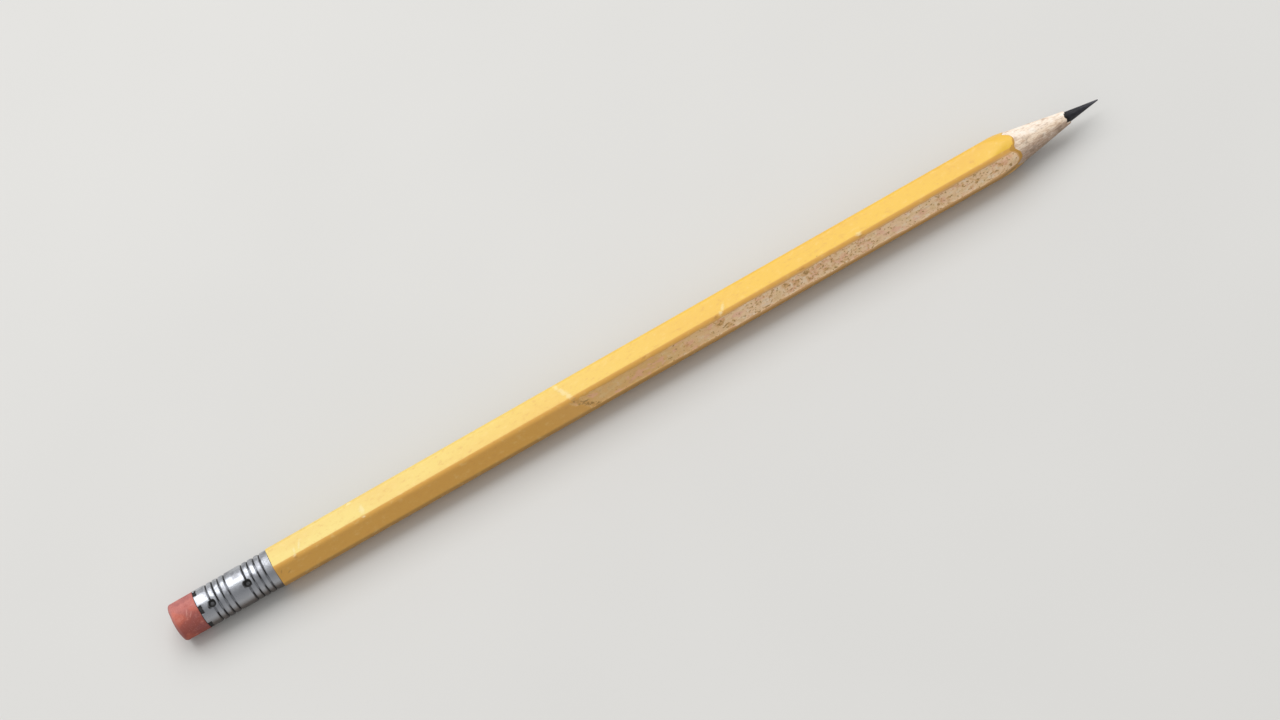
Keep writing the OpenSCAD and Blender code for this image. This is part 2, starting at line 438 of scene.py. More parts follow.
def build_slat(settings, side, name, materials):
    """One glued slat: a closed tube of half rings, its outside and its bore on the same angles.

    Rows run along the pencil: the tenon, the shoulder, the lacquered shaft up to the rim's end,
    and the cut cone up to the ragged lip. A row's stations vary with the angle where the rim and
    the lip do.
    """
    angle, outline_r = hexagon_outline(settings.edge_r, side)
    bright_end, rim_end = paint_ends(settings, angle, outline_r)
    ferrule = bpy.context.scene.pencil_ferrule
    degrees = np.degrees(angle)
    lip_end = WOOD_END - lip_nicks(settings, degrees)

    # The shaft's ends are a bevel at the ferrule, and the lacquer's broken edge at the cut cone
    bevel_l, bevel_depth, broken_l = 0.05, 0.06, 0.08
    tenon = np.linspace(TENON_END, SHOULDER - GLUE_GAP, TENON_ROWS)[:, None] + 0 * angle
    shaft = SHOULDER + (rim_end - SHOULDER) * np.linspace(0, 1, SHAFT_ROWS)[:, None]
    shaft = rows_with_edges(shaft, bevel_l, broken_l)
    cone = rim_end + (lip_end - rim_end) * np.linspace(0, 1, CONE_ROWS)[1:, None]
    station = np.concatenate([tenon, shaft, cone])
    first, last = len(tenon), len(tenon) + len(shaft) - 1
    on_tenon, on_cone = slice(first), slice(last + 1, None)

    # The worn flat is all on the upper slat, so the lower one has no bare patch
    distance = bare_distance(settings, station, angle, bright_end)
    if side < 0:
        distance = np.full_like(distance, -1.0)
    radius = casing_radius(settings, station, outline_r)
    radius -= settings.lacquer_t * smooth(distance, -0.05, 0.15)
    radius += UNEVEN * skin_noise(station / 9, angle, 2, 33)
    grip_r = FERRULE_R - ferrule.wall - GLUE_GAP
    radius[on_tenon] = grip_r - ferrule_dents(ferrule, tenon, angle)
    radius[first] -= bevel_depth
    radius[last] -= settings.lacquer_t
    radius[on_cone] -= settings.lacquer_t
    radius[on_cone] += UNEVEN * skin_noise(station[on_cone] / 2.5, angle, 6, 34)
    radius[on_cone, 0] -= GLUE_LINE
    radius[on_cone, -1] -= GLUE_LINE
    radius = np.minimum(radius, outline_r)

    bore = np.full_like(radius, CORE_R + GLUE_GAP)
    rings = np.concatenate([radius, bore[:, ::-1]], axis=1)
    stations = np.concatenate([station, station[:, ::-1]], axis=1)
    angles = np.concatenate([angle, angle[::-1]])
    points = around(stations, angles, rings)
    rows, columns = rings.shape
    count = len(angle)
    tube = loop_faces(rows, columns)
    edge = np.arange(count - 1)
    cap = np.stack([edge + 1, edge, columns - 1 - edge, columns - 2 - edge], axis=-1)
    faces = [tube, cap, cap[:, ::-1] + (rows - 1) * columns]

    row_of, column_of = np.indices((rows - 1, columns))
    lacquered = (row_of >= first) & (row_of < last) & (column_of < count - 1)
    slots = np.concatenate([np.where(lacquered.ravel(), 0, 1), np.ones(2 * len(cap), int)])

    # Values that the materials read: how bare the wood is, how thickly specks cover it, how thin
    # the lacquer had worn, how far painted shade darkens the lacquer, where its rim is crushed, and
    # how far painted shade darkens the cut wood, where its graphite dirt gathers too. The bore has 0
    # for each.
    on_worn = smooth(-np.abs(degrees - WORN_ANGLE), -29, -22)
    thin = 0.3 * smooth(station, 66, 77) + 0.3 * smooth(station, 88, 102)
    thin += 0.4 * smooth(station, 101, 112)
    # Painted shade on the lacquer: 1 on the flanks from past the near upper edge round to the
    # underside, and 2 along the near edge at 180 degrees
    shade_mask = smooth(degrees, 112.5, 116.5) * smooth(-degrees, -243, -237)
    shade_mask += window(degrees, 171, 186, 5)
    # Painted shade on the cut wood: 0 on top, rising to 1 on the near side and fading out across the
    # underside
    shade_and_dirt = np.clip((degrees - 88) / 62, 0, 1) * smooth(-degrees, -290, -230)
    fields = {
        "bare": np.clip(0.5 + distance, 0, 1),
        "specks": speck_cover(settings, station, angle),
        "thin": thin * on_worn,
        "shade_mask": shade_mask + 0 * radius,
        "rim": smooth(station - bright_end, -0.12, 0.12),
        "shade_and_dirt": shade_and_dirt + 0 * radius,
    }
    fields = {key: np.concatenate([field, 0 * field], axis=1) for key, field in fields.items()}
    return make_piece(name, points, faces, materials, slots, **fields)


# ---------------- ferrule, eraser and core

# Angles in degrees: the dimples, the notches, and the side that the ferrule lies on
DIMPLE_ANGLES = (120, 300)
NOTCH_ANGLES = range(0, 360, 60)
UNDERSIDE = 240
FERRULE_COLUMNS, OUTSIDE_ROWS, INSIDE_ROWS = 280, 206, 64


def arc_length(angle, centre_degrees):
    """Distance round the ferrule from an angle in degrees, signed, in mm."""
    turn = angle - np.radians(centre_degrees)
    return FERRULE_R * np.angle(np.exp(1j * turn))


def ferrule_features(ferrule, station, angle):
    """How far each place is from the nearest groove, from each dimple as a distance along the
    ferrule and one round it, and from each notch's outline, with less than 0 inside it.

    Each group of grooves is counted from its own rim, and has its dimples on its first groove.
    """
    steps = ferrule.groove_pitch * np.arange(ferrule.groove_count)
    rear = RIM + ferrule.rear_margin + steps
    front = SHOULDER - ferrule.front_margin - steps[::-1]
    groove = np.abs(station[..., None] - np.concatenate([rear, front])).min(axis=-1)
    dimples = [
        (station - middle, arc_length(angle, degrees))
        for middle in (rear[0], front[0])
        for degrees in DIMPLE_ANGLES
    ]
    beyond = station - RIM - ferrule.notch_l
    notches = [
        np.maximum(np.abs(arc_length(angle, degrees)) - ferrule.notch_w / 2, beyond)
        for degrees in NOTCH_ANGLES
    ]
    return groove, dimples, notches


def ferrule_dents(ferrule, station, angle):
    """How deep the tube's wall is pressed in: grooves, dimples and notches, the deepest counting.

    A groove is a smooth trough round the tube, with the wall drawn in a little beside it, a dimple
    a cone with a flat floor, and a notch a soft-edged rectangle at the eraser-side rim.
    """
    groove, dimples, notches = ferrule_features(ferrule, station, angle)
    depth = ferrule.groove_r * (1 - smooth(groove, 0.04, 1.2 * ferrule.groove_r))
    drawn_in = 0.03
    depth += drawn_in * (1 - smooth(groove, 0.1, ferrule.groove_pitch / 2))
    for along, beside in dimples:
        punch = 1 - smooth(np.hypot(along, beside), ferrule.dimple_floor, ferrule.dimple_mouth)
        depth = np.maximum(depth, ferrule.dimple_depth * punch)
    for outside in notches:
        depth = np.maximum(depth, ferrule.notch_depth * (1 - smooth(outside, -0.08, 0.06)))
    return depth


def ferrule_grime(ferrule, station, angle):
    """How much dirt and painted shade each place holds, from 0 to 1: the grooves, thinned as painted
    light where the highlight and bright reflections fall across them, a ring and a faint halo round
    each dimple that are dirt with the painted shade of its walls, the notches, both rims, and a
    painted shade on the upper near side of the band next to the casing that dims its highlight.
    """
    groove, dimples, notches = ferrule_features(ferrule, station, angle)
    patches = skin_noise(station / 1.3, angle, 3, 41)
    bearing = np.degrees(angle)
    # Painted light: the groove dirt is thinned where the highlight falls on top and where bright
    # reflections cross the near side, so the grooves read paler there
    painted_groove_light = 1 - 0.2 * window(bearing, 74, 108, 10) - 0.5 * window(bearing, 125, 152, 8)
    grime = (0.8 + 0.3 * patches) * painted_groove_light * (1 - smooth(groove, 0.06, 0.2))
    # Each dimple's ring and halo: dirt with the painted shade of its walls
    for along, beside in dimples:
        reach = np.hypot(along, beside)
        wider = np.cbrt(np.abs(along + 0.1) ** 3 + np.abs(beside - 0.05) ** 3)
        halo = (0.58 + 0.3 * patches) * (1 - smooth(wider, 0.72, 1.0))
        halo *= 1 - 0.5 * smooth(beside, 0.3, 0.8)
        ring = np.maximum(window(reach, 0.34, 0.64, 0.07), halo)
        floor = 1 - smooth(reach, 0.28, 0.42)
        grime = np.maximum(grime, ring) * (1 - floor) + 0.6 * floor
    crumbs = 0.15 * skin_noise(station / 0.25, angle, 14, 42)
    for degrees, outside in zip(NOTCH_ANGLES, notches):
        packed = 1 - 0.32 * np.exp(-(((degrees - DIMPLE_ANGLES[0]) / 30) ** 2))
        grime = np.maximum(grime, packed * (1 - smooth(outside + crumbs, 0, 0.14)))
    # Painted shade: the upper near side of the band next to the casing is darkened to dim its
    # highlight
    highlight_dimming = 0.4 * window(station, SHOULDER - 1.35, SHOULDER, 0.25) * window(bearing, 70, 124, 10)
    ends = np.minimum(station - RIM, SHOULDER - station)
    rims = 0.75 * (1 - smooth(ends, 0.03, 0.16))
    return np.clip(np.maximum(np.maximum(grime, highlight_dimming), rims), 0, 1)


def build_ferrule(ferrule, materials):
    """The tube as a closed ring of rows: out along its outside, and back along its inside.

    Each rim is turned in by rim_round. Painted shade and painted reflections cover the metal towards
    its underside, from 1 within 55 degrees of the underside to 0 at 132 degrees from it.
    """
    rim_round = 0.05
    angle = np.linspace(0, 2 * np.pi, FERRULE_COLUMNS, endpoint=False)
    outside = rows_with_edges(np.linspace(RIM, SHOULDER, OUTSIDE_ROWS), 0.03, 0.03)
    inside = np.linspace(SHOULDER, RIM, INSIDE_ROWS)
    station = np.concatenate([outside, inside])[:, None] + 0 * angle
    radius = FERRULE_R - ferrule_dents(ferrule, station, angle)
    radius -= UNEVEN * (1 + skin_noise(station / 3, angle, 2, 43))
    radius[[0, len(outside) - 1]] -= rim_round
    radius[len(outside) :] -= ferrule.wall
    points = around(station, angle, radius)
    faces = [loop_faces(len(station), FERRULE_COLUMNS, close_rows=True)]
    grime = ferrule_grime(ferrule, station, angle)
    # The inside is darkened evenly by dirt and painted shade
    grime[len(outside) :] = 0.3
    # Painted shade and reflections: 1 within 55 degrees of the underside, 0 at 132 degrees from it
    turn = np.abs(np.degrees(arc_length(angle, UNDERSIDE) / FERRULE_R))
    tarnish = np.clip((132 - turn) / 77, 0, 1) + 0 * station
    return make_piece("ferrule_tube", points, faces, materials, grime=grime, tarnish=tarnish)


def revolve(name, station, angle, radius, materials, **fields):
    """A solid turned about the pencil's axis, closed at both ends by a small flat polygon."""
    rows, columns = radius.shape
    first = np.arange(columns)[None, ::-1]
    last = np.arange(columns)[None, :] + (rows - 1) * columns
    faces = [loop_faces(rows, columns), first, last]
    return make_piece(name, around(station, angle, radius), faces, materials, sharp=50.0, **fields)


def build_eraser(settings, ferrule, materials):
    """Rubber plug: a worn end with a round edge, the free length, and the gripped plug.

    The end is crowned as the square of the distance from its middle and shallowly dented, and the
    free length has soft lumps that fade out at the ferrule.
    """
    flat_rows, edge_rows, free_rows, plug_rows = 20, 12, 32, 90
    pole_r = 0.05
    angle = np.linspace(0, 2 * np.pi, 144, endpoint=False)
    turn = np.linspace(0, np.pi / 2, edge_rows)
    flat_r = ERASER_R - settings.end_r
    free_stations = np.linspace(settings.end_r + 0.3, RIM - 0.12, free_rows)
    profile = [
        [np.zeros(flat_rows), np.linspace(pole_r, flat_r - 0.05, flat_rows)],
        [settings.end_r * (1 - np.cos(turn)), flat_r + settings.end_r * np.sin(turn)],
        [free_stations, np.full(free_rows, ERASER_R)],
        [[RIM - 0.04, RIM], [ERASER_R - 0.02, ERASER_R - 0.1]],
    ]
    free = np.concatenate([np.array(part) for part in profile], axis=1)
    plug = np.linspace(RIM, PLUG_END, plug_rows)
    grip_r = FERRULE_R - ferrule.wall - 0.05
    station = np.concatenate([free[0], plug, [PLUG_END]])[:, None] + 0 * angle
    radius = np.concatenate([free[1], np.full(plug_rows, grip_r), [pole_r]])[:, None] + 0 * angle
    side = slice(flat_rows, free.shape[1])
    gripped = slice(free.shape[1], -1)
    radius[gripped] -= ferrule_dents(ferrule, station[gripped], angle)
    lumps = skin_noise(station[side] / 2, angle, 3, 51)
    radius[side] -= 0.03 * (1 + lumps) * smooth(RIM - station[side], 0, 0.6)
    end = radius[: flat_rows + edge_rows]
    dents = lattice_noise(end * np.cos(angle), end * np.sin(angle), 0, 52)
    station[: len(end)] += 0.1 * (end / ERASER_R) ** 2 + 0.04 * (1 + dents)
    worn = np.clip(1 - smooth(station, 0.3, 0.9), 0, 1)
    degrees = np.degrees(angle)
    # Painted shade: 1 over the near side and underside, fading out towards the top and the far side
    dirty = smooth(degrees, 84, 130) * smooth(-degrees, -310, -240) + 0 * station
    return revolve("eraser_plug", station, angle, radius, materials, worn=worn, dirty=dirty)


def build_core(settings, materials):
    """The graphite: a full-length rod whose sharpened end is a cone with lengthwise flats.

    A flat's radius is that of a straight side between two corners of a many-sided outline, whose
    sides are of uneven widths.
    """
    flat_count = 12
    angle = np.linspace(0, 2 * np.pi, 96, endpoint=False)
    rod = [TENON_END, TENON_END + 0.01, WOOD_END - 1, WOOD_END - 0.4]
    point = np.linspace(WOOD_END - 0.3, TIP - 0.02, 90)
    station = np.concatenate([rod, point, [TIP]])[:, None] + 0 * angle
    taper = np.clip((TIP - station) / (TIP - WOOD_END), 0, 1)
    radius = settings.tip_r + (CORE_R - settings.tip_r) * taper
    across_flat = (angle / (2 * np.pi) * flat_count + 0.3 * np.sin(angle)) % 1 - 0.5
    flats = np.cos(np.pi / flat_count) / np.cos(across_flat * 2 * np.pi / flat_count)
    on_point = smooth(station, WOOD_END - 0.2, WOOD_END + 0.8)
    radius *= 1 - on_point * (1 - flats)
    radius -= 0.02 * on_point * taper * skin_noise(station / 0.9, angle, 3, 61)
    radius[0], radius[-1] = 0.3, 0.03
    return revolve("graphite_point", station, angle, radius, materials)


# ---------------- materials

# Grain sizes are in mm. Some real ones are too fine to show, so these are drawn as coarse as they
# need to show: wood pores and fibres (0.05 mm), graphite's cutting marks (0.02 mm), the
# aluminium's hairlines (0.01 mm), the eraser's grit (0.08 mm) and the lacquer's dust (0.1 mm).


def add(tree, kind, inputs=(), out=0, **settings):
    """Adds a shader node with its settings, and sets or links its inputs by number or name.

    Returns the output that out names, or the node itself if it has none.
    """
    made = tree.nodes.new("ShaderNode" + kind)
    for key, value in settings.items():
        setattr(made, key, value)
    for key, value in inputs.items() if isinstance(inputs, dict) else enumerate(inputs):
        if isinstance(value, NodeSocket):
            tree.links.new(value, made.inputs[key])
        else:
            made.inputs[key].default_value = value
    return made.outputs[out] if len(made.outputs) else made


def new_material(name, *painted):
    """An empty node material, its node tree, each point's place in metres, and the values that
    the mesh carries under the painted names."""
    material = bpy.data.materials.new(name)
    material.use_nodes = True
    tree = material.node_tree
    tree.nodes.clear()
    values = [add(tree, "Attribute", attribute_name=key, out="Fac") for key in painted]
    return material, tree, add(tree, "TexCoord", out="Object"), *values


def finish_surface(material, **sockets):
    """The material, ended with a Principled shader. Underscores in sockets' names are spaces."""
    inputs = {key.replace("_", " "): value for key, value in sockets.items()}
    shader = add(material.node_tree, "BsdfPrincipled", inputs)
    add(material.node_tree, "OutputMaterial", [shader])
    return material


def grain(tree, place, size_mm, stretch=1.0, detail=2.0, roughness=0.5):
    """Noise about 0.5 with features of a size in mm, drawn out along the pencil by a stretch."""
    scale = tuple(1 / (MM * size_mm * part) for part in (stretch, 1, 1))
    mapped = add(tree, "Mapping", {"Vector": place, "Scale": scale})
    inputs = {"Vector": mapped, "Scale": 1.0, "Detail": detail, "Roughness": roughness}
    return add(tree, "TexNoise", inputs)


def coats(tree, base, *layers):
    """Colours laid over a base in turn, each where its value rises from low to high.

    A layer is its value, low, high, the most that it covers, and its colour.
    """
    for value, low, high, most, colour in layers:
        cover = add(tree, "MapRange", [value, low, high, 0.0, most], interpolation_type="SMOOTHSTEP")
        under, over = (part if isinstance(part, NodeSocket) else rgba(part) for part in (base, colour))
        base = add(tree, "Mix", {0: cover, 6: under, 7: over}, out=2, data_type="RGBA")
    return base


def relief(tree, *layers):
    """Bumps laid over each other: each layer is a height from 0 to 1 and its depth in mm."""
    linked = {}
    for height, depth in layers:
        linked = {"Height": height, "Distance": depth * MM, **linked}
        linked = {"Normal": add(tree, "Bump", linked)}
    return linked["Normal"]


# Marks on the surface: station, angle, length, width and turn in degrees. A turn of 0 lies along
# the pencil, and 90 across it.
SCUFFS_AND_GLINTS = [
    (23.5, 117, 1.4, 0.7, 15),
    (23.8, 105, 2.6, 0.8, 75),
    (25.0, 95, 3.8, 0.8, 64),
    # Painted highlight: a glint on the upper far edge
    (35.4, 63, 1.6, 1.0, 0),
    (36.8, 118, 1.2, 0.7, 0),
    (37.0, 98, 3.6, 1.8, 86),
    (75.3, 70, 3.2, 1.5, -75),
    (75.9, 88, 4.4, 1.7, -65),
    (76.5, 107, 3.2, 1.7, -65),
    # These two: a pale scratch painted as the highlight of a raised flake
    (105.5, 117, 2.0, 1.2, 45),
    (106.2, 106, 3.6, 1.2, 55),
    (132.1, 114, 2.0, 1.4, 0),
]
BRUISES = [
    (20.2, 138, 1.6, 0.45, 60),
    (21.3, 149, 1.8, 0.45, 30),
    (23.6, 122, 1.6, 0.8, 0),
    (76.9, 122, 1.8, 0.8, 0),
    (77.2, 131, 2.2, 1.3, -60),
    (78.2, 143, 2.4, 1.5, -60),
    (79.2, 155, 2.4, 1.5, -60),
    (80.0, 166, 2.2, 1.3, -60),
    (90.7, 119, 2.4, 0.6, 10),
    (104.4, 121, 1.8, 1.2, 30),
    (120.9, 121, 2.6, 0.7, 0),
    (124.2, 112, 0.6, 0.5, 0),
    (132.3, 123, 1.6, 0.7, 0),
]
RUBS = [(2.95, 108, 2.6, 0.4, 65), (3.5, 116, 1.6, 0.4, 52)]


def marks(tree, place, listed, reach):
    """The greatest of the listed marks, each 1 at its middle and 0 at the edge of an ellipsoid.

    The ellipsoids stand on a circle of radius reach round the axis, or on the flats inside it.
    """
    total = None
    for station, degrees, length, width, turn in listed:
        off_flat = np.radians(degrees % 60 - 30)
        at = around(station, np.radians(degrees), min(reach, APOTHEM / np.cos(off_flat)))
        tilt = Matrix.Rotation(np.radians(degrees - 90), 3, "X")
        tilt = tilt @ Matrix.Rotation(np.radians(turn), 3, "Z")
        inputs = {
            "Vector": place,
            "Location": tuple(at),
            "Rotation": tuple(tilt.to_euler("XYZ")),
            "Scale": (length * MM / 2, width * MM / 2, 0.6 * MM),
        }
        local = add(tree, "Mapping", inputs, vector_type="TEXTURE")
        mark = add(tree, "TexGradient", [local], out="Fac", gradient_type="SPHERICAL")
        total = mark if total is None else add(tree, "Math", [total, mark], operation="MAXIMUM")
    return total


def pencil_lacquer(settings):
    """Yellow cellulose lacquer, dipped on in thin layers over basswood.

    The eye gets a smooth even gloss with a faint waviness, a colour that warms towards the point,
    painted shade that turns it golden on the flanks away from the top and darker along the near
    edge at 180 degrees, pale scuffs of which two are painted highlights, brown bruises, and one
    flat where handling has rubbed it through to pinkish wood with specks of lacquer left in the grain.
    """
    material, tree, place, bare, specks, thin, shade_mask, rim = new_material(
        "Yellow pencil lacquer", "bare", "specks", "thin", "shade_mask", "rim"
    )
    x = add(tree, "SeparateXYZ", [place])
    cloud = grain(tree, place, 6, stretch=3)
    fine = grain(tree, place, 0.35, stretch=1.4, detail=4, roughness=0.65)
    dust = grain(tree, place, 0.9, stretch=1.5, detail=4, roughness=0.7)
    # Pale scuffs, two of them painted highlights, and brown bruises, each broken up by fine noise
    scuff_and_glint, bruise = (
        add(tree, "Math", [marks(tree, place, listed, CORNER_R), part, fine], operation="MULTIPLY_ADD")
        for listed, part in ((SCUFFS_AND_GLINTS, 0.8), (BRUISES, 0.5))
    )
    lacquer = coats(
        tree,
        settings.lacquer_rear,
        (x, (REAR + SHOULDER) * MM, (REAR + 120) * MM, 1.0, settings.lacquer_front),
        # Painted shade: golden on the flanks away from the top, and darker still along the near edge
        # at 180 degrees
        (shade_mask, 0.0, 1.0, 1.0, settings.lacquer_in_shade),
        (shade_mask, 1.0, 2.0, 0.6, "#8A6530"),
        (cloud, 0.4, 0.75, 0.28, "#E6A84C"),
        (dust, 0.52, 0.72, 0.32, "#D3944A"),
        (dust, 0.46, 0.28, 0.2, "#FFE3A0"),
        (thin, 0.0, 1.0, 0.6, "#E3B482"),
        (rim, 0.2, 0.8, 1.0, settings.lacquer_rim),
        (bruise, 0.62, 1.0, 0.5, "#A87A3C"),
        (scuff_and_glint, 0.64, 1.2, 0.5, "#FFF2C2"),
    )

    # Bare wood: pores drawn out along the grain, pink and cream stains, and specks of lacquer
    # where a noise plus the specks' cover passes a threshold
    pores = grain(tree, place, 0.25, stretch=9, detail=3)
    stain = grain(tree, place, 1.3, stretch=1.4)
    speck = grain(tree, place, 0.38, stretch=1.3)
    speck = add(tree, "Math", [specks, 0.2, speck], operation="MULTIPLY_ADD")
    golden = add(tree, "Math", [specks, stain], operation="MULTIPLY")
    golden = add(tree, "Math", [golden, 1.5, grain(tree, place, 0.5)], operation="MULTIPLY_ADD")
    pale = add(tree, "Math", [0.5, dust], operation="SUBTRACT")
    pale = add(tree, "Math", [pale, thin], operation="MULTIPLY")
    wood = coats(
        tree,
        "#EABB78",
        (thin, 0.3, 0.95, 1.0, settings.worn_wood),
        (stain, 0.52, 0.66, 0.48, "#F8B9A2"),
        (stain, 0.46, 0.34, 0.45, "#ECCB92"),
        (dust, 0.53, 0.7, 0.35, "#D09C68"),
        (pale, 0.0, 0.15, 0.7, "#FFE9CC"),
        (pores, 0.55, 0.75, 0.3, "#CFA076"),
        (golden, 0.78, 1.1, 0.5, "#D59C4C"),
        (speck, 0.63, 0.69, 0.5, "#D3A560"),
        (speck, 0.69, 0.77, 0.6, "#94703A"),
    )
    bare = add(tree, "Math", [fine, 0.4, bare], operation="MULTIPLY_ADD")
    bare_cover = add(tree, "MapRange", [bare, 0.66, 0.74], interpolation_type="SMOOTHSTEP")

    matt = add(tree, "MapRange", [scuff_and_glint, 0.62, 1.0], interpolation_type="SMOOTHSTEP")
    matt = add(tree, "Math", [matt, bare_cover], operation="MAXIMUM")
    waves = grain(tree, place, 1.4, stretch=2, detail=1)
    flakes = add(tree, "MapRange", [speck, 0.66, 0.76])
    flakes = add(tree, "Math", [flakes, bare_cover], operation="MULTIPLY")
    return finish_surface(
        material,
        Base_Color=coats(tree, lacquer, (bare_cover, 0.0, 1.0, 1.0, wood)),
        Roughness=add(tree, "MapRange", [matt, 0.0, 1.0, 0.36, 0.78]),
        Normal=relief(tree, (waves, 0.008), (pores, 0.01), (scuff_and_glint, 0.03), (flakes, 0.03)),
    )


def cut_wood(settings):
    """Basswood cut by a pencil sharpener: pale and dry, with fine lengthwise grain, knife mottling,
    painted shade that darkens it from the top towards its low near side, and graphite dirt in
    patches that gather where that shade is painted."""
    material, tree, place, shade_and_dirt = new_material("Cut basswood", "shade_and_dirt")
    mottle = grain(tree, place, 1.1, stretch=1.3, detail=4, roughness=0.6)
    lines = grain(tree, place, 0.16, stretch=22, detail=3)
    dirt = grain(tree, place, 0.8, stretch=1.6, detail=4, roughness=0.6)
    # The graphite dirt and the grain lines are raised where shade is painted, so they show most on the
    # low near side
    dirt = add(tree, "Math", [shade_and_dirt, 0.16, dirt], operation="MULTIPLY_ADD")
    low = add(tree, "Math", [shade_and_dirt, 0.14, lines], operation="MULTIPLY_ADD")
    wood = coats(
        tree,
        settings.cut_wood,
        (mottle, 0.48, 0.34, 0.65, "#FFFDF8"),
        # Painted shade: the wood darkens from the top towards its low near side
        (shade_and_dirt, 0.0, 0.5, 0.9, "#F4DCC1"),
        (shade_and_dirt, 0.6, 1.0, 1.0, "#CBAF98"),
        (mottle, 0.51, 0.66, 0.5, "#A98062"),
        (mottle, 0.46, 0.32, 0.4, "#FFF4E2"),
        (lines, 0.52, 0.72, 0.4, "#B48F70"),
        (lines, 0.47, 0.3, 0.35, "#FFF6EA"),
        (low, 0.55, 0.78, 0.3, "#B9967B"),
        (dirt, 0.6, 0.78, 0.5, "#86705F"),
    )
    bumps = relief(tree, (lines, 0.02), (mottle, 0.03))
    return finish_surface(material, Base_Color=wood, Roughness=0.72, Normal=bumps)


def sharpened_graphite(settings):
    """Fired graphite and clay, cut to a point: dark blue-grey with a dull sheen, fine lengthwise
    cutting marks, a rubbed, lighter tip, and painted shade turning it black where it leaves the wood."""
    material, tree, place = new_material("Graphite")
    x = add(tree, "SeparateXYZ", [place])
    streaks = grain(tree, place, 0.14, stretch=16, detail=3, roughness=0.6)
    dark = coats(
        tree,
        settings.graphite,
        (streaks, 0.45, 0.75, 0.6, "#4A4952"),
        (x, (REAR + TIP - 3.2) * MM, (REAR + TIP) * MM, 0.55, "#6A6970"),
        # Painted shade: black where the core leaves the wood, standing in for the shadowed gap there
        (x, (REAR + WOOD_END + 0.5) * MM, (REAR + WOOD_END - 0.1) * MM, 1.0, "#050506"),
    )
    bumps = relief(tree, (streaks, 0.03))
    return finish_surface(
        material, Base_Color=dark, Roughness=0.45, Normal=bumps, Specular_IOR_Level=0.3
    )


def rolled_aluminium(settings):
    """Bright rolled aluminium tube: clean silver with hairlines round it and small dull patches,
    painted shade and a paler painted reflection band from its near side round to a brown shaded
    underside, and black dirt and painted shade in the grooves, dimples and notches."""
    material, tree, place, grime, tarnish = new_material("Rolled aluminium", "grime", "tarnish")
    hairlines = grain(tree, place, 2.5, stretch=0.03)
    patches = grain(tree, place, 1.4, detail=4, roughness=0.6)
    fine = grain(tree, place, 0.3, detail=3, roughness=0.7)
    # Dirt and painted shade, broken up by fine noise
    dirt = add(tree, "Math", [fine, 0.3, grime], operation="MULTIPLY_ADD")
    dirt = add(tree, "MapRange", [dirt, 0.35, 0.95], interpolation_type="SMOOTHSTEP")
    metal = coats(
        tree,
        settings.metal,
        (patches, 0.44, 0.64, 0.75, "#86878D"),
        # Painted shade and reflection: a darker grey on the near side, a paler band below it, then
        # brown shade deepening to the underside
        (tarnish, 0.0, 0.25, 0.8, "#8E9095"),
        (tarnish, 0.3, 0.5, 0.8, "#A6A8AD"),
        (tarnish, 0.6, 0.92, 0.85, "#6B635E"),
        (tarnish, 0.8, 1.0, 0.5, "#4E4641"),
        (dirt, 0.0, 1.0, 1.0, settings.grime),
    )
    gloss = add(tree, "MapRange", [patches, 0.35, 0.7, 0.27, 0.37], interpolation_type="SMOOTHSTEP")
    return finish_surface(
        material,
        Base_Color=metal,
        Metallic=add(tree, "MapRange", [dirt, 0.0, 0.7, 1.0, 0.0]),
        Roughness=add(tree, "Math", [dirt, 0.4, gloss], operation="MULTIPLY_ADD"),
        Normal=relief(tree, (hairlines, 0.006), (patches, 0.03)),
    )


def eraser_rubber(settings):
    """Pink vulcanised rubber with pumice: matt and slightly chalky, rubbed paler at its worn end
    and in short strokes, with grey-brown dirt worked into it in clouds, and painted shade of the
    same grey-brown over its near side and underside."""
    material, tree, place, worn, dirty = new_material("Pink eraser rubber", "worn", "dirty")
    wide = grain(tree, place, 3.2)
    cloud = grain(tree, place, 1.2, detail=3, roughness=0.6)
    grit = grain(tree, place, 0.25, detail=3, roughness=0.7)
    rub = add(tree, "Math", [marks(tree, place, RUBS, ERASER_R), 0.8, grit], operation="MULTIPLY_ADD")
    rubber = coats(
        tree,
        settings.rubber,
        # Painted shade over the near side and underside
        (dirty, 0.0, 1.0, 1.0, settings.shade_and_dirt),
        (wide, 0.5, 0.66, 0.5, "#9A5A5A"),
        (wide, 0.48, 0.34, 0.5, "#D97258"),
        (cloud, 0.5, 0.7, 0.5, settings.shade_and_dirt),
        (cloud, 0.45, 0.3, 0.45, "#DE8F80"),
        (grit, 0.53, 0.72, 0.4, "#A85A50"),
        (worn, 0.0, 1.0, 0.45, "#BC8580"),
        (grit, 0.46, 0.26, 0.35, "#E09C90"),
        (rub, 0.62, 1.1, 0.28, "#F0B5A8"),
    )
    bumps = relief(tree, (grit, 0.03), (cloud, 0.06), (rub, 0.04))
    return finish_surface(material, Base_Color=rubber, Roughness=0.78, Normal=bumps)


def studio_floor(settings):
    """Matt painted board: plain and pale, with the faintest mottling.

    Only the rays that look at it, straight or by reflection, see it pale. It throws less light up
    at the object than pale board would, so the object's underside stays in its own shade.
    """
    material, tree, place = new_material("Matt white board")
    tint = [0.98 * part for part in settings.floor]
    board = coats(tree, settings.floor, (grain(tree, place, 60), 0.3, 0.7, 1.0, tint))
    looks = camera_ray = add(tree, "LightPath", out="Is Camera Ray")
    for kind in ("Is Glossy Ray", "Is Transmission Ray"):
        looks = add(tree, "Math", [looks, camera_ray.node.outputs[kind]], operation="MAXIMUM")
    seen = coats(tree, "#8C8B89", (looks, 0.0, 1.0, 1.0, board))
    return finish_surface(material, Base_Color=seen, Roughness=0.9)


# ---------------- operators


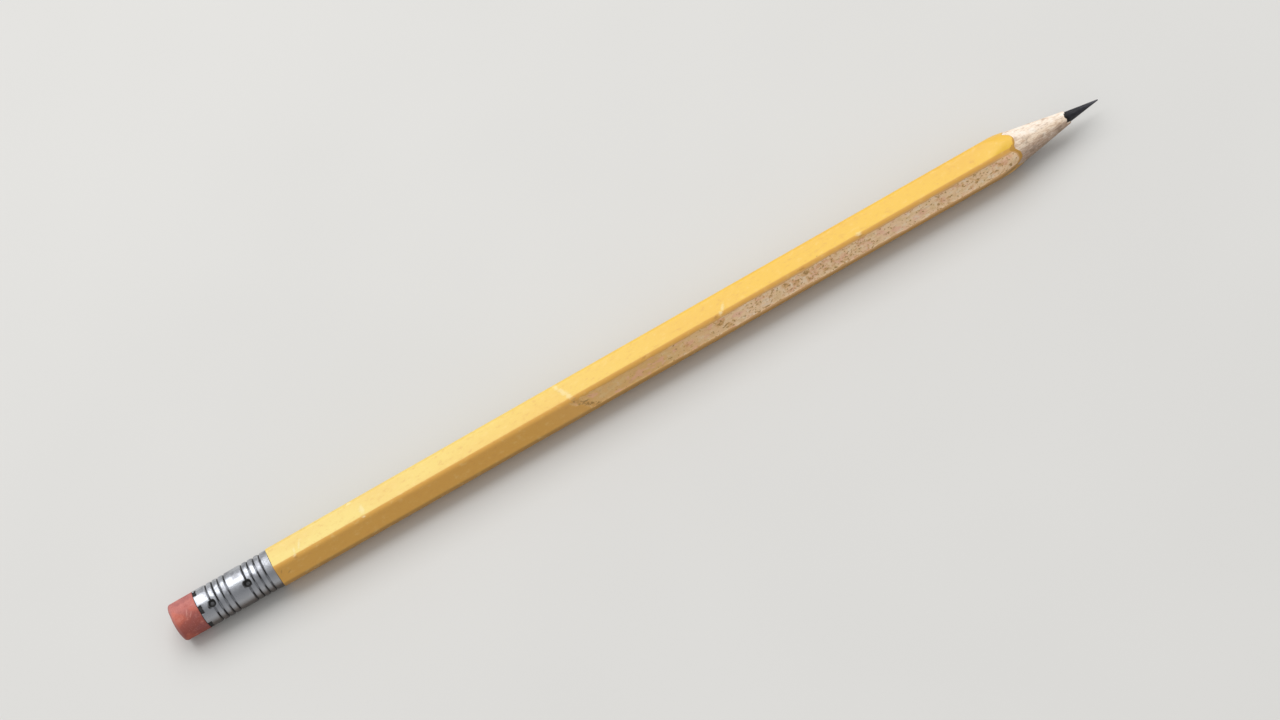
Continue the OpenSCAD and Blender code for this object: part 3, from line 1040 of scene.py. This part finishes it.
def stands_for(piece, node):
    """Hides the CAD node that a finished piece stands for, and raises an error if the piece leaves
    that node's box by more than the slack, in mm, that the ragged wood and rounded mesh need."""
    slack = 0.3
    low, high = node_box(node)
    points = np.empty(len(piece.data.vertices) * 3, np.float32)
    piece.data.vertices.foreach_get("co", points)
    points = points.reshape(-1, 3) / MM
    out = max((low - points.min(axis=0)).max(), (points.max(axis=0) - high).max())
    if out > slack:
        raise RuntimeError(f"{piece.name} leaves {node}'s box by {out:.3f} mm")
    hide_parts(node)


class PENCIL_OT_casing(Operator):
    """Build the two glued slats of the wooden casing with their lacquer"""

    bl_idname = "pencil.casing"
    bl_label = "Build casing"

    def execute(self, context):
        settings = context.scene.pencil_casing
        materials = [pencil_lacquer(settings), cut_wood(settings)]
        upper = build_slat(settings, 1, "upper_slat", materials)
        stands_for(upper, "casing_upper_half")
        lower = build_slat(settings, -1, "lower_slat", materials)
        stands_for(lower, "casing_lower_half")
        return {"FINISHED"}


class PENCIL_OT_core(Operator):
    """Build the graphite core with its sharpened point"""

    bl_idname = "pencil.core"
    bl_label = "Build core"

    def execute(self, context):
        settings = context.scene.pencil_core
        core = build_core(settings, [sharpened_graphite(settings)])
        stands_for(core, "graphite_core")
        return {"FINISHED"}


class PENCIL_OT_ferrule(Operator):
    """Build the grooved and crimped ferrule"""

    bl_idname = "pencil.ferrule"
    bl_label = "Build ferrule"

    def execute(self, context):
        settings = context.scene.pencil_ferrule
        tube = build_ferrule(settings, [rolled_aluminium(settings)])
        stands_for(tube, "ferrule")
        return {"FINISHED"}


class PENCIL_OT_eraser(Operator):
    """Build the eraser plug"""

    bl_idname = "pencil.eraser"
    bl_label = "Build eraser"

    def execute(self, context):
        settings = context.scene.pencil_eraser
        plug = build_eraser(settings, context.scene.pencil_ferrule, [eraser_rubber(settings)])
        stands_for(plug, "eraser")
        return {"FINISHED"}


class PENCIL_OT_stage(Operator):
    """Lay the floor, hang the softbox and set the camera"""

    bl_idname = "pencil.stage"
    bl_label = "Set the stage"

    def execute(self, context):
        scene = context.scene
        settings = scene.pencil_stage
        half = 6.0
        corners = [(-half, -half, 0), (half, -half, 0), (half, half, 0), (-half, half, 0)]
        sheet = bpy.data.meshes.new("floor")
        sheet.from_pydata(corners, [], [(0, 1, 2, 3)])
        sheet.materials.append(studio_floor(settings))
        floor = new_object("floor", sheet)

        middle = MM * Vector((0.6, 0.02, AXIS_HEIGHT))
        lamp = bpy.data.lights.new("softbox", "AREA")
        lamp.shape = "RECTANGLE"
        lamp.size, lamp.size_y = 1.1, 0.95
        lamp.energy = settings.key_power
        softbox = new_object("softbox", lamp)
        height, lamp_distance = np.radians(60), 0.95
        towards = Vector((0.0, np.cos(height), np.sin(height)))
        softbox.location = middle + lamp_distance * towards
        softbox.rotation_euler = towards.to_track_quat("Z", "Y").to_euler()

        world = bpy.data.worlds.new("even surround")
        world.use_nodes = True
        tree = world.node_tree
        tree.nodes.clear()
        add(tree, "OutputWorld", [add(tree, "Background", [(1, 1, 1, 1), settings.fill])])
        scene.world = world

        lift, tilt = settings.elevation, settings.roll
        back = Vector((0, -np.cos(lift), np.sin(lift)))
        along, over = Vector((1, 0, 0)), Vector((0, np.sin(lift), np.cos(lift)))
        right = np.cos(tilt) * along - np.sin(tilt) * over
        up = np.sin(tilt) * along + np.cos(tilt) * over
        lens = bpy.data.cameras.new("camera")
        lens.lens, lens.sensor_width = settings.lens, 36.0
        lens.clip_start, lens.clip_end = 0.01, 50.0
        camera = new_object("camera", lens)
        facing = Matrix((right, up, back)).transposed().to_4x4()
        camera.matrix_world = Matrix.Translation(middle + back * settings.distance * MM) @ facing
        scene.camera = camera
        scene.view_settings.view_transform = "Standard"
        return {"FINISHED"}


class PENCIL_PT_sidebar(Panel):
    """Lists the pencil's sizes and colours with the buttons that build its pieces"""

    bl_idname = "PENCIL_PT_sidebar"
    bl_label = "Pencil"
    bl_space_type = "VIEW_3D"
    bl_region_type = "UI"
    bl_category = "Pencil"

    def draw(self, context):
        for step in SETTINGS:
            box = self.layout.box()
            group = getattr(context.scene, "pencil_" + step)
            for name in group.__annotations__:
                box.prop(group, name)
            box.operator("pencil." + step)


# Each step's settings, in the order that the steps are built
SETTINGS = {
    "casing": PencilCasingSettings,
    "core": PencilCoreSettings,
    "ferrule": PencilFerruleSettings,
    "eraser": PencilEraserSettings,
    "stage": PencilStageSettings,
}
CLASSES = [
    *SETTINGS.values(),
    PENCIL_OT_casing,
    PENCIL_OT_core,
    PENCIL_OT_ferrule,
    PENCIL_OT_eraser,
    PENCIL_OT_stage,
    PENCIL_PT_sidebar,
]


def register():
    for entry in CLASSES:
        bpy.utils.register_class(entry)
    for step, group in SETTINGS.items():
        setattr(bpy.types.Scene, "pencil_" + step, PointerProperty(type=group))


def unregister():
    for step in SETTINGS:
        delattr(bpy.types.Scene, "pencil_" + step)
    for entry in reversed(CLASSES):
        bpy.utils.unregister_class(entry)


def main():
    register()
    for step in SETTINGS:
        getattr(bpy.ops.pencil, step)()


if __name__ == "__main__":
    main()
